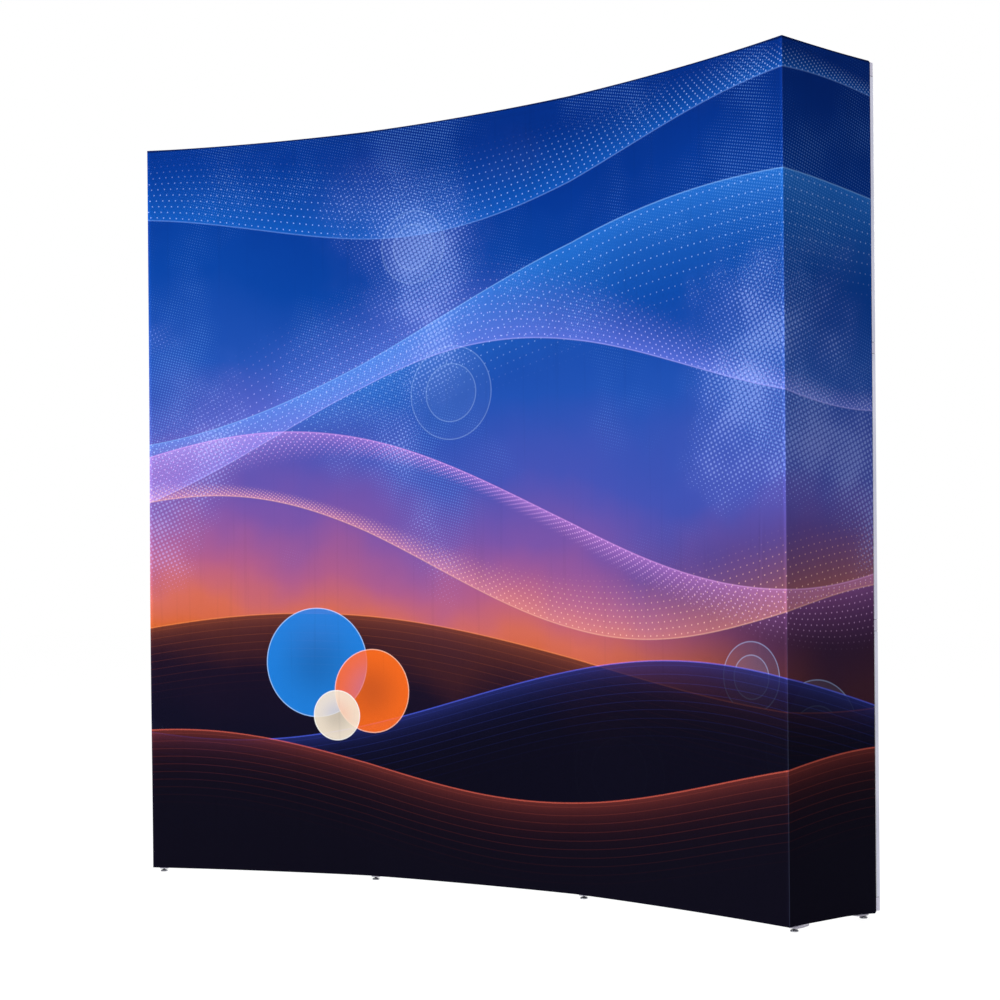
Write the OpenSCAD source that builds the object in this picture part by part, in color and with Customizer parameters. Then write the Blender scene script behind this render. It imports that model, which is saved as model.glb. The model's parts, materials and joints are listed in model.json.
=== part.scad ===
// Curved pop-up display wall: a folding lattice of hubs and scissor poles, three bays wide and
// three bays high, under a stretched fabric cover that wraps round both ends to rear rails.
// Millimetres. +X to the right, +Y away from the viewer, +Z up. The origin is on the floor, at
// the middle of the wall's width and depth. The cover's front face is hollow towards the viewer.

/* [Wall] */
// Radius of the curve of the cover's front face
cover_r = 2860; // [2200:10:5000]
// Angle of one bay, seen from the centre of the curve
bay_angle = 14.06; // [9:0.01:16]
// Height of one bay, hub centre to hub centre
row_pitch = 733.4; // [500:0.1:900]
// Depth of the lattice, front pivots to back pivots
lattice_depth = 272; // [200:1:320]
// Hub centre to the cover's top or bottom edge
edge_margin = 20; // [19:0.5:40]
// End hub centre to the outside of the cover's end panel
end_margin = 21; // [20:0.5:40]
// Height of the cover's bottom edge above the floor
floor_gap = 18; // [18:0.5:40]

/* [Cover] */
// Thickness of the stretched cover with its lining
cover_t = 2; // [1:0.1:4]
// Share of the bay's curve that the stretched fabric keeps, 0 for a flat bay
bay_bulge = 0.55; // [0:0.05:1]
// How far the free edges draw in between hubs
edge_scallop = 3; // [1:0.5:8]
// Thickness of the hook pads on the front hubs
pad_t = 2; // [1:0.1:3]
// Diameter of a hook pad
pad_d = 30; // [20:1:34]
// Clearance between the cover and what it grips
grip_gap = 0.3; // [0.2:0.05:0.6]

/* [Hubs] */
// Pivot plane to the hub's flat face
hub_reach = 35; // [26:1:45]
// Pivot plane of a back hub to its flat face
back_reach = 19; // [18:1:30]
// Diameter of the flat face
face_d = 34; // [30:1:36]
// Thickness of the flat face
face_t = 3; // [2:0.5:5]
// Diameter of the core between the four ears
core_d = 18; // [16:0.5:18.5]
// Hub centre to a pole's pivot
pivot_reach = 16; // [15.8:0.1:20]
// Radius of the ears round a pivot
ear_r = 6.5; // [6:0.1:7]
// Thickness of one ear
ear_t = 2.6; // [2:0.1:3]
// Clearance of a pole tongue in its slot, each side
slot_gap = 0.3; // [0.2:0.05:0.5]

/* [Poles] */
// Outside diameter of a pole
pole_d = 12.7; // [10:0.1:14]
// Wall of a pole
pole_wall = 1; // [0.8:0.1:2]
// Thickness of the flat tongue on a pole tip
tongue_t = 6.6; // [5:0.1:7]
// Pivot to the end of the tube
tip_length = 16; // [14:1:30]
// Length of the plug inside the tube
plug_length = 14; // [8:1:30]
// Gap between the two crossing poles
cross_gap = 0.8; // [0.4:0.1:1.5]
// Diameter of pivot pins, pegs and rivet shanks
pin_d = 4; // [3:0.5:5]

/* [Locks] */
// Pivot plane to the lock pin, on both hubs
lock_reach = 28; // [25:1:32]
// Thickness of a locking arm
arm_t = 8; // [6:0.5:9]
// Height of a locking arm
arm_h = 9; // [8:0.5:12]
// Radius of the arm's hook round its peg
hook_r = 7.5; // [7:0.5:8.5]
// Thickness of one lock ear
lock_ear_t = 3; // [2:0.5:4]

/* [Feet] */
// Diameter of a foot's pad
foot_d = 21.5; // [18:0.5:30]
// Height of a foot's pad up to the stem
foot_h = 5.5; // [5:0.5:6]
// Diameter of the threaded stem
stem_d = 6; // [5:0.5:8]
// Thread engaged in the hub at rest
stem_grip = 13; // [9:1:14]
// Thickness of the lock nut
nut_t = 4; // [3:0.5:4]
// Lock nut across its flats
nut_flats = 10; // [9:0.5:13]
// Gap between a foot's pad and the saddle above it
saddle_gap = 3; // [2.6:0.1:4]
// Reach of a saddle from its foot towards the hub's flat face
saddle_out = 14; // [13:1:32]
// Reach of a saddle from its foot towards the inside of the lattice
saddle_in = 50; // [30:1:80]
// Width of a saddle
saddle_w = 26; // [22:1:32]
// Thickness of a saddle's leaf
saddle_t = 4; // [3:0.5:4]
// Radius of a saddle's bend
saddle_r = 200; // [200:5:400]

/* [Rails] */
// Width of a rail, front to back
rail_w = 37; // [30:1:45]
// Depth of the rail's channel
rail_t = 7; // [6:0.5:8]
// Wall of the rail's channel
rail_wall = 1.5; // [1:0.1:2]
// How far the rail reaches ahead of the hub's flat face
rail_lead = 7; // [4:1:10]
// Gap between the end of a bar and its holder
seam_gap = 1; // [0.3:0.1:1.5]
// Width of rail under the cover's rear edge
cover_lap = 15; // [10:1:20]
// Width of the hook strip left showing behind the cover's rear edge
strip_show = 6; // [2:0.5:8]
// Half height of a rail holder
holder_half = 14.5; // [14.5:0.5:20]
// Thickness of the hook strip on a rail
strip_t = 1.7; // [1:0.1:2.5]
// Length of a holder's spigot inside a bar
spigot = 12; // [8:1:20]

/* [Hidden] */
$fn = 48;

// Running clearance of a pin or stem in its bore, on the radius
run_fit = 0.05;
// Hold of a pin in a hub's ear, on the radius
pin_fit = 0.02;
// Points along one bay of the cover, and along one drawn-in edge
bay_steps = 10;
edge_steps = 12;
// Bays across and up: the node names count on three of each
bays = 3;

// Where the parts stand, as radii from the centre of the curve
front_r = cover_r + cover_t + grip_gap + pad_t + hub_reach;
back_r = front_r + lattice_depth;
back_face_r = back_r + back_reach;
rail_front_r = back_face_r - rail_lead;
end_edge_r = rail_front_r + cover_lap;
end_angle = bay_angle * bays / 2;
corner_angle = end_angle + asin(end_margin / cover_r);

// Centre of the curve, so that the origin is the middle of the whole depth
front_y = cover_r * cos(corner_angle);
back_y = back_face_r * cos(bay_angle / 2) + face_d / 2 * sin(bay_angle / 2);
centre_y = (front_y + back_y) / 2;

// Heights
bottom_row_z = floor_gap + edge_margin;
cover_z = floor_gap;
cover_h = 2 * edge_margin + bays * row_pitch;

// Poles and their slots
pole_r = pole_d / 2;
bore_r = pole_r - pole_wall;
pole_shift = pole_r + cross_gap / 2;
tongue_r = pole_r - 0.35;
slot_w = tongue_t + 2 * slot_gap;
ear_span = slot_w + 2 * ear_t;
pin_r = pin_d / 2;
upright_rise = row_pitch - 2 * pivot_reach;
half_bay = bay_angle / 2;

// Feet and their sockets
socket_r = stem_d / 2 + 3;
socket_drop = bottom_row_z - floor_gap + 3;
foot_seat_z = bottom_row_z - socket_drop;
nut_r = nut_flats / cos(30) / 2;
saddle_z = foot_h + saddle_gap;
saddle_low = 8;

// Rails, measured outwards from the end hubs' centre plane
panel_in = end_margin - cover_t;
strip_out = panel_in - grip_gap;
rail_out = strip_out - strip_t;
rail_in = rail_out - rail_t;
groove_y = rail_front_r + cover_lap + strip_show + 1.5;
end_holder = edge_margin + 1;

function column_angle(i) = (i - bays / 2) * bay_angle;
function row_z(j) = bottom_row_z + j * row_pitch;
function mix(a, b, u) = a * (1 - u) + b * u;
function round_point(r, a) = [r * sin(a), r * cos(a)];

// A point of the cover's front, between the bend lines at angles a0 and a1
function bay_point(r, a0, a1, u) =
    bay_bulge * round_point(r, mix(a0, a1, u))
    + (1 - bay_bulge) * mix(round_point(r, a0), round_point(r, a1), u);

// Bend lines of the cover: its two corners and the two inner hub columns
seam_angle = end_angle + asin((panel_in - 0.05) / cover_r);
bend_angles = [-seam_angle, -half_bay, half_bay, seam_angle];

function front_curve(r) = concat(
    [for (b = [0:bays - 1]) for (s = [0:bay_steps - 1])
        bay_point(r, bend_angles[b], bend_angles[b + 1], s / bay_steps)],
    [round_point(r, seam_angle)]
);
function reversed(list) = [for (k = [len(list) - 1:-1:0]) list[k]];

// The frame whose Y runs outwards from the centre of the curve at angle a
module spoke(a, r = 0, z = 0) {
    translate([0, -centre_y, 0])
        rotate([0, 0, -a])
            translate([0, r, z]) children();
}

// Right-hand parts as they are, left-hand ones mirrored
module on_side(side) {
    if (side == "right") spoke(end_angle) children();
    else mirror([1, 0, 0]) spoke(end_angle) children();
}

module along_y(d, h, y = 0) {
    translate([0, y, 0]) rotate([-90, 0, 0]) cylinder(d = d, h = h);
}

module across_x(d, h) {
    rotate([0, 90, 0]) cylinder(d = d, h = h, center = true);
}

// ---------------------------------------------------------------- cover

// The shallow slice that a drawn-in edge leaves out, w wide. Its ends dip just below the edge.
module edge_slice(w) {
    dip = 0.2;
    rise = 4 * (edge_scallop + dip);
    polygon(concat(
        [for (s = [0:edge_steps])
            [w * (s / edge_steps - 0.5), rise * (s / edge_steps) * (1 - s / edge_steps) - dip]],
        [[w / 2, -5], [-w / 2, -5]]
    ));
}

// The same slice at the bottom and, turned over, at the top of the cover
module edge_cuts(w, reach) {
    translate([0, reach, cover_z]) rotate([90, 0, 0]) linear_extrude(2 * reach) edge_slice(w);
    translate([0, -reach, cover_z + cover_h])
        rotate([-90, 0, 0]) linear_extrude(2 * reach) edge_slice(w);
}

module cover_front_panel() {
    color([0.16, 0.2, 0.5])
        difference() {
            translate([0, -centre_y, cover_z])
                linear_extrude(cover_h)
                    polygon(concat(
                        front_curve(cover_r),
                        reversed(front_curve(cover_r + cover_t))
                    ));
            for (b = [0:bays - 1]) {
                a0 = bend_angles[b];
                a1 = bend_angles[b + 1];
                spoke((a0 + a1) / 2, cover_r)
                    edge_cuts(2 * cover_r * sin((a1 - a0) / 2) - 2, 60);
            }
        }
}

module cover_end_panel(side) {
    length = end_edge_r - cover_r * cos(corner_angle - end_angle);
    color([0.1, 0.14, 0.4])
        on_side(side)
            difference() {
                translate([panel_in, end_edge_r - length, cover_z]) cube([cover_t, length, cover_h]);
                translate([panel_in, end_edge_r - length / 2, 0])
                    rotate([0, 0, 90]) edge_cuts(length - 30, 40);
                for (corner = [[0, 5], [cover_h, 3]])
                    translate([panel_in + cover_t / 2, end_edge_r, cover_z + corner[0]])
                        rotate([45, 0, 0])
                            cube([cover_t + 2, corner[1] * sqrt(2), corner[1] * sqrt(2)], center = true);
            }
}

// ---------------------------------------------------------------- hubs

// One arm along +X: two ears and the slot between them, set off to the side of its pole
module hub_arm() {
    low = pole_shift - ear_span / 2;
    difference() {
        union() {
            translate([4, -ear_r, low]) cube([pivot_reach - 4, 2 * ear_r, ear_span]);
            translate([pivot_reach, 0, low]) cylinder(r = ear_r, h = ear_span);
        }
        translate([pivot_reach - tongue_r - slot_gap, -ear_r - 1, pole_shift - slot_w / 2])
            cube([tongue_r + slot_gap + ear_r + 1, 2 * ear_r + 2, slot_w]);
        translate([pivot_reach, 0, low - 1]) cylinder(r = pin_r + pin_fit, h = ear_span + 2);
    }
}

// Two ears behind the core that hold the lock's peg or pivot pin
module lock_ears() {
    gap = arm_t + 0.8;
    difference() {
        for (side = [-1, 1])
            translate([side * (gap + lock_ear_t) / 2, 0, 0]) {
                translate([-lock_ear_t / 2, 4, -5]) cube([lock_ear_t, lock_reach - 4, 10]);
                translate([0, lock_reach, 0]) across_x(10, lock_ear_t);
            }
        translate([0, lock_reach, 0]) across_x(2 * (pin_r + pin_fit), gap + 4 * lock_ear_t);
    }
    translate([-gap / 2 - lock_ear_t, 4, -5]) cube([gap + 2 * lock_ear_t, core_d / 2 - 2, 10]);
}

// Triangular web from the boss out to the back of the flat face
module face_web(reach) {
    plate = reach - face_t;
    translate([0, 0, -1])
        linear_extrude(2)
            polygon([[5, -plate - 0.5], [face_d / 2 - 2, -plate - 0.5], [face_d / 2 - 2, -plate],
                [8.5, -core_d / 2 - 3], [5, -core_d / 2 - 3]]);
}

// A hub with its flat face towards -Y. arms are right, up, left and down.
module hub(reach, arms, lock = false, socket = false, stud = false) {
    difference() {
        union() {
            along_y(core_d, core_d, -core_d / 2);
            along_y(15, reach - face_t - core_d / 2 + 1, -reach + face_t - 0.5);
            along_y(face_d, face_t, -reach);
            for (k = [0:3]) rotate([0, 45 + 90 * k, 0]) face_web(reach);
            for (k = [0:3]) if (arms[k]) rotate([0, -90 * k, 0]) hub_arm();
            if (lock) lock_ears();
            if (socket) translate([0, 0, -socket_drop]) cylinder(r = socket_r, h = socket_drop);
            if (stud) along_y(8, 8, -reach - 7);
        }
        if (socket)
            translate([0, 0, -socket_drop - 1])
                cylinder(r = stem_d / 2 + run_fit, h = stem_grip + 5 + 1);
    }
}

function is_inner(i) = i > 0 && i < bays;

module front_hubs(j) {
    color("lightgray")
        for (i = [0:bays])
            spoke(column_angle(i), front_r, row_z(j))
                hub(hub_reach, [i < bays, j < bays, i > 0, j > 0], lock = is_inner(i),
                    socket = j == 0);
}

module back_hubs(j) {
    color("lightgray")
        for (i = [0:bays])
            spoke(column_angle(i), back_r, row_z(j))
                rotate([0, 0, 180])
                    hub(back_reach, [i > 0, j < bays, i < bays, j > 0], lock = is_inner(i),
                        socket = j == 0, stud = !is_inner(i));
}

// ---------------------------------------------------------------- poles

// A pole from the pivot at the origin to the pivot at [length, 0, 0], pins along Z
module pole_tube(length, cross) {
    difference() {
        translate([tip_length, 0, 0])
            rotate([0, 90, 0])
                difference() {
                    cylinder(r = pole_r, h = length - 2 * tip_length);
                    translate([0, 0, -1]) cylinder(r = bore_r, h = length - 2 * tip_length + 2);
                }
        translate([cross, 0, -pole_r - 1]) cylinder(r = pin_r + run_fit, h = pole_d + 2);
    }
}

// The moulded tip at the origin: tongue with its pin bore, collar and plug
module pole_tip() {
    difference() {
        union() {
            cylinder(r = tongue_r, h = tongue_t, center = true);
            translate([0, -tongue_r, -tongue_t / 2]) cube([tip_length - 5, 2 * tongue_r, tongue_t]);
            translate([tip_length - 7, 0, 0]) rotate([0, 90, 0]) cylinder(r = pole_r, h = 7);
            translate([tip_length - 1, 0, 0])
                rotate([0, 90, 0]) cylinder(r = bore_r - 0.05, h = plug_length + 1);
        }
        cylinder(r = pin_r + run_fit, h = tongue_t + 2, center = true);
    }
}

module both_tips(length) {
    pole_tip();
    translate([length, 0, 0]) rotate([0, 0, 180]) pole_tip();
}

// Rivet through both poles at their crossing, with the washer between them
module cross_rivet() {
    reach = pole_shift + pole_r + run_fit;
    cylinder(d = pin_d, h = 2 * reach, center = true);
    cylinder(d = 9, h = cross_gap - 0.1, center = true);
    for (end = [0, 1])
        mirror([0, 0, end])
            translate([0, 0, reach]) {
                cylinder(d = 8, h = 0.8);
                translate([0, 0, 0.8]) cylinder(d1 = 8, d2 = 5, h = 1);
            }
}

// Upright pair: both poles lie in their column's plane
upright_length = norm([lattice_depth, upright_rise]);
upright_tilt = atan2(upright_rise, lattice_depth);

module upright_pole_place(i, j, first) {
    r = first ? front_r : back_r;
    tilt = first ? upright_tilt : 180 - upright_tilt;
    spoke(column_angle(i), r, row_z(j) + pivot_reach)
        translate([first ? -pole_shift : pole_shift, 0, 0])
            rotate([tilt, 0, 0])
                rotate([0, 0, 90])
                    rotate([90, 0, 0]) children();
}

// Crosswise pair: both poles lie level, in the frame of their bay's middle
function inner_end(r) = [-r * sin(half_bay) + pivot_reach * cos(half_bay),
    r * cos(half_bay) + pivot_reach * sin(half_bay)];
function mirrored(p) = [-p[0], p[1]];
crosswise_start = inner_end(front_r);
crosswise_run = mirrored(inner_end(back_r)) - crosswise_start;
crosswise_length = norm(crosswise_run);
crosswise_tilt = atan2(crosswise_run[1], crosswise_run[0]);
crosswise_cross = -crosswise_start[0] / cos(crosswise_tilt);
crosswise_cross_r = crosswise_start[1] + crosswise_cross * sin(crosswise_tilt);

module crosswise_pole_place(b, j, first) {
    spoke(column_angle(b) + half_bay, 0, row_z(j) + (first ? pole_shift : -pole_shift))
        mirror([first ? 0 : 1, 0, 0])
            translate([crosswise_start[0], crosswise_start[1], 0])
                rotate([0, 0, crosswise_tilt]) children();
}

module upright_poles(i) {
    color("silver")
        for (j = [0:bays - 1]) for (first = [true, false])
            upright_pole_place(i, j, first) pole_tube(upright_length, upright_length / 2);
}

module crosswise_poles(j) {
    color("silver")
        for (b = [0:bays - 1]) for (first = [true, false])
            crosswise_pole_place(b, j, first) pole_tube(crosswise_length, crosswise_cross);
}

module upright_pole_tips() {
    color("black")
        for (i = [0:bays]) for (j = [0:bays - 1]) for (first = [true, false])
            upright_pole_place(i, j, first) both_tips(upright_length);
}

module crosswise_pole_tips() {
    color("black")
        for (j = [0:bays]) for (b = [0:bays - 1]) for (first = [true, false])
            crosswise_pole_place(b, j, first) both_tips(crosswise_length);
}

module upright_pole_rivets() {
    color("gainsboro")
        for (i = [0:bays]) for (j = [0:bays - 1])
            spoke(column_angle(i), (front_r + back_r) / 2, row_z(j) + row_pitch / 2)
                rotate([0, 90, 0]) cross_rivet();
}

module crosswise_pole_rivets() {
    color("gainsboro")
        for (j = [0:bays]) for (b = [0:bays - 1])
            spoke(column_angle(b) + half_bay, crosswise_cross_r, row_z(j)) cross_rivet();
}

// The pivot pins of one hub
module hub_pins(arms) {
    for (k = [0:3])
        if (arms[k])
            rotate([0, -90 * k, 0])
                translate([pivot_reach, 0, pole_shift]) cylinder(d = pin_d, h = ear_span, center = true);
}

module front_hub_pins() {
    color("gray")
        for (i = [0:bays]) for (j = [0:bays])
            spoke(column_angle(i), front_r, row_z(j)) hub_pins([i < bays, j < bays, i > 0, j > 0]);
}

module back_hub_pins() {
    color("gray")
        for (i = [0:bays]) for (j = [0:bays])
            spoke(column_angle(i), back_r, row_z(j))
                rotate([0, 0, 180]) hub_pins([i > 0, j < bays, i < bays, j > 0]);
}

// ---------------------------------------------------------------- locks

lock_pin_length = arm_t + 0.8 + 2 * lock_ear_t;
arm_length = lattice_depth - 2 * lock_reach;

module lock_pegs() {
    color("gray")
        for (i = [1:bays - 1]) for (j = [0:bays])
            spoke(column_angle(i), front_r + lock_reach, row_z(j)) across_x(pin_d, lock_pin_length);
}

module lock_pivot_pins() {
    color("gray")
        for (i = [1:bays - 1]) for (j = [0:bays])
            spoke(column_angle(i), back_r - lock_reach, row_z(j)) across_x(pin_d, lock_pin_length);
}

// Outline of an arm from its eye at the origin to its hook at [arm_length, 0], with a thumb tab
module arm_outline() {
    edge = arm_h / 2;
    difference() {
        union() {
            circle(r = arm_h / 2 + 1);
            polygon([[0, -edge], [arm_length, -edge], [arm_length, edge],
                [arm_length - 18, edge], [arm_length - 24, edge + 5],
                [arm_length - 34, edge + 5], [arm_length - 42, edge], [0, edge]]);
            translate([arm_length, 0]) circle(r = hook_r);
        }
        circle(r = pin_r + run_fit);
        translate([arm_length, 0]) circle(r = pin_r + 0.2);
        translate([arm_length - pin_r - 0.2, -hook_r - 1]) square([pin_d + 0.4, hook_r + 1]);
        translate([arm_length, -hook_r])
            polygon([[-pin_r - 2.2, -1], [pin_r + 2.2, -1], [pin_r, 2], [-pin_r, 2]]);
    }
}

// Shallow pocket along each side, which leaves the arm an I section
module arm_pocket() {
    from = arm_h + 2;
    to = arm_length - 46;
    width = arm_h - 3.6;
    translate([from, 0]) circle(d = width);
    translate([to, 0]) circle(d = width);
    translate([from, -width / 2]) square([to - from, width]);
}

module locking_arm(i, j) {
    color("black")
        spoke(column_angle(i), back_r - lock_reach, row_z(j))
            rotate([0, 0, -90])
                rotate([90, 0, 0])
                    difference() {
                        linear_extrude(arm_t, center = true) arm_outline();
                        for (side = [0, 1])
                            mirror([0, 0, side])
                                translate([0, 0, arm_t / 2 - 2]) linear_extrude(3) arm_pocket();
                    }
}

// ---------------------------------------------------------------- hook pads and feet

module hook_pads() {
    color("whitesmoke")
        for (i = [0:bays]) for (j = [0:bays])
            spoke(column_angle(i), front_r, row_z(j)) along_y(pad_d, pad_t, -hub_reach - pad_t);
}

// A foot standing on z = 0: domed pad with a rim, and its threaded stem
module foot() {
    top = foot_seat_z + stem_grip;
    stem_r = stem_d / 2;
    pad_r = foot_d / 2;
    rim_h = 2;
    neck_r = stem_r + 1.2;
    color("darkgray")
        rotate_extrude()
            polygon(concat(
                [[0, 0], [pad_r - 0.8, 0], [pad_r, 0.6]],
                [for (a = [0:15:90])
                    [neck_r + (pad_r - neck_r) * cos(a), rim_h + (foot_h - rim_h) * sin(a)]],
                [[stem_r, foot_h], [stem_r, top - 1], [stem_r - 1, top], [0, top]]
            ));
}

module front_foot(i) {
    spoke(column_angle(i), front_r) foot();
}

module back_foot(i) {
    spoke(column_angle(i), back_r) foot();
}

module foot_lock_nuts() {
    color("silver")
        for (i = [0:bays]) for (r = [front_r, back_r])
            spoke(column_angle(i), r, foot_seat_z - nut_t)
                difference() {
                    cylinder(r = nut_r, h = nut_t, $fn = 6);
                    translate([0, 0, -1]) cylinder(r = stem_d / 2 + run_fit, h = nut_t + 2);
                }
}

// Height of a saddle's underside at the distance y from its foot
function saddle_under(y) = saddle_z + saddle_r - sqrt(saddle_r * saddle_r - pow(y - saddle_low, 2));

// Side view of a saddle's leaf: the band between two arcs
module saddle_leaf() {
    intersection() {
        translate([-saddle_out, saddle_z - 1]) square([saddle_out + saddle_in, 20]);
        translate([saddle_low, saddle_z + saddle_r])
            difference() {
                circle(r = saddle_r, $fn = 360);
                circle(r = saddle_r - saddle_t, $fn = 360);
            }
    }
}

// Plan of a saddle: straight sides and round ends
module saddle_plan() {
    half = saddle_w / 2;
    translate([0, half - saddle_out]) circle(r = half);
    translate([0, saddle_in - half]) circle(r = half);
    translate([-half, half - saddle_out]) square([saddle_w, saddle_out + saddle_in - saddle_w]);
}

// A saddle under a bottom hub, pressed on to its socket, with a well for the lock nut
module saddle() {
    collar_r = socket_r + 3;
    collar_top = foot_seat_z + 6;
    front_end = 5 - saddle_out;
    back_end = saddle_in - 5;
    difference() {
        union() {
            intersection() {
                rotate([90, 0, 90]) linear_extrude(saddle_w, center = true) saddle_leaf();
                linear_extrude(60) saddle_plan();
            }
            translate([0, 0, saddle_z + 1]) cylinder(r = collar_r, h = collar_top - saddle_z - 1);
            rotate([90, 0, 90])
                linear_extrude(2.4, center = true)
                    polygon([[front_end, saddle_under(front_end) + 1],
                        [front_end, saddle_under(front_end) + saddle_t + 0.5],
                        [1 - collar_r, collar_top - 0.5], [collar_r - 1, collar_top - 0.5],
                        [back_end, saddle_under(back_end) + saddle_t + 0.5],
                        [back_end, saddle_under(back_end) + 1],
                        [saddle_low, saddle_z + 1]]);
        }
        translate([0, 0, saddle_z - 1]) cylinder(r = nut_r + 1, h = foot_seat_z + 1.3 - saddle_z);
        translate([0, 0, foot_seat_z]) cylinder(r = socket_r + run_fit, h = 8);
    }
}

module foot_saddles() {
    color("lightgray")
        for (i = [0:bays]) {
            spoke(column_angle(i), front_r) saddle();
            spoke(column_angle(i), back_r) rotate([0, 0, 180]) saddle();
        }
}

// ---------------------------------------------------------------- rails

// Section of a bar, X outwards from the end hubs' centre plane and Y along the radius
module rail_section() {
    corner = 2.5;
    lip = 5;
    difference() {
        union() {
            translate([rail_in, rail_front_r]) square([rail_t, rail_w - corner]);
            translate([rail_in, rail_front_r]) square([rail_t - corner, rail_w]);
            translate([rail_out - corner, rail_front_r + rail_w - corner]) circle(r = corner);
        }
        translate([rail_in + rail_wall, rail_front_r + rail_wall])
            square([rail_t - 2 * rail_wall, rail_w - 2 * rail_wall]);
        translate([rail_in - 1, rail_front_r + lip]) square([rail_wall + 2, rail_w - 2 * lip]);
        translate([rail_out - 0.5, groove_y]) square([1, 1]);
    }
}

// Bar b spans from the holder of row b to the holder of row b + 1
module rail_bar(side, b) {
    color("lightgray")
        on_side(side)
            translate([0, 0, row_z(b) + holder_half + seam_gap])
                linear_extrude(row_pitch - 2 * holder_half - 2 * seam_gap) rail_section();
}

// Spigot that enters a bar, standing on z = 0
module rail_spigot() {
    inset = rail_wall + 0.15;
    back = rail_front_r + rail_w - inset;
    front = back_face_r + 2;
    translate([rail_in + inset, front, -1])
        cube([rail_t - 2 * inset, back - front - 1.5, spigot + 1]);
}

module rail_holder(down, up) {
    plate_y = back_face_r + grip_gap;
    corner = 2.5;
    back = rail_front_r + rail_w - 0.5;
    difference() {
        union() {
            translate([0, 0, -down])
                linear_extrude(down + up)
                    difference() {
                        union() {
                            translate([rail_in, plate_y]) square([rail_t, back - plate_y - corner]);
                            translate([rail_in, plate_y]) square([rail_t - corner, back - plate_y]);
                            translate([rail_out - corner, back - corner]) circle(r = corner);
                        }
                        translate([rail_out - 0.5, groove_y]) square([1, 1]);
                    }
            translate([0, plate_y, -12]) cube([rail_in + 1, 7, 24]);
            translate([0, plate_y, 0]) rotate([-90, 0, 0]) cylinder(r = 12, h = 7);
        }
        along_y(8 + 2 * run_fit, 9, plate_y - 1);
    }
}

module rail_holders(side) {
    color("thistle")
        on_side(side)
            for (j = [0:bays])
                translate([0, 0, row_z(j)]) {
                    down = j == 0 ? end_holder : holder_half;
                    up = j == bays ? end_holder : holder_half;
                    rail_holder(down, up);
                    if (j < bays) translate([0, 0, up]) rail_spigot();
                    if (j > 0) mirror([0, 0, 1]) translate([0, 0, down]) rail_spigot();
                }
}

// Hook strip on the part of each bar that lies under the cover's rear edge and just behind it
module rail_hook_strips(side) {
    color("whitesmoke")
        on_side(side)
            for (b = [0:bays - 1])
                translate([rail_out, rail_front_r + 1, row_z(b) + holder_half + 2])
                    cube([strip_t, cover_lap + strip_show - 1, row_pitch - 2 * holder_half - 4]);
}

cover_front_panel();
cover_end_panel("left");  // cover_left_end_panel
cover_end_panel("right");  // cover_right_end_panel
front_hubs(0);  // front_hubs_row_1
front_hubs(1);  // front_hubs_row_2
front_hubs(2);  // front_hubs_row_3
front_hubs(3);  // front_hubs_row_4
back_hubs(0);  // back_hubs_row_1
back_hubs(1);  // back_hubs_row_2
back_hubs(2);  // back_hubs_row_3
back_hubs(3);  // back_hubs_row_4
upright_poles(0);  // upright_poles_column_1
upright_poles(1);  // upright_poles_column_2
upright_poles(2);  // upright_poles_column_3
upright_poles(3);  // upright_poles_column_4
crosswise_poles(0);  // crosswise_poles_row_1
crosswise_poles(1);  // crosswise_poles_row_2
crosswise_poles(2);  // crosswise_poles_row_3
crosswise_poles(3);  // crosswise_poles_row_4
upright_pole_tips();
crosswise_pole_tips();
upright_pole_rivets();
crosswise_pole_rivets();
front_hub_pins();
back_hub_pins();
lock_pegs();
lock_pivot_pins();
hook_pads();
locking_arm(1, 0);  // left_locking_arm_row_1
locking_arm(1, 1);  // left_locking_arm_row_2
locking_arm(1, 2);  // left_locking_arm_row_3
locking_arm(1, 3);  // left_locking_arm_row_4
locking_arm(2, 0);  // right_locking_arm_row_1
locking_arm(2, 1);  // right_locking_arm_row_2
locking_arm(2, 2);  // right_locking_arm_row_3
locking_arm(2, 3);  // right_locking_arm_row_4
front_foot(0);  // front_foot_1
front_foot(1);  // front_foot_2
front_foot(2);  // front_foot_3
front_foot(3);  // front_foot_4
back_foot(0);  // back_foot_1
back_foot(1);  // back_foot_2
back_foot(2);  // back_foot_3
back_foot(3);  // back_foot_4
foot_lock_nuts();
foot_saddles();
rail_bar("left", 0);  // left_rail_lower_bar
rail_bar("left", 1);  // left_rail_middle_bar
rail_bar("left", 2);  // left_rail_upper_bar
rail_holders("left");  // left_rail_holders
rail_hook_strips("left");  // left_rail_hook_strips
rail_bar("right", 0);  // right_rail_lower_bar
rail_bar("right", 1);  // right_rail_middle_bar
rail_bar("right", 2);  // right_rail_upper_bar
rail_holders("right");  // right_rail_holders
rail_hook_strips("right");  // right_rail_hook_strips
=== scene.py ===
import json
import math

import bmesh
import bpy
import numpy as np
from mathutils import Matrix, Vector


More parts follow.
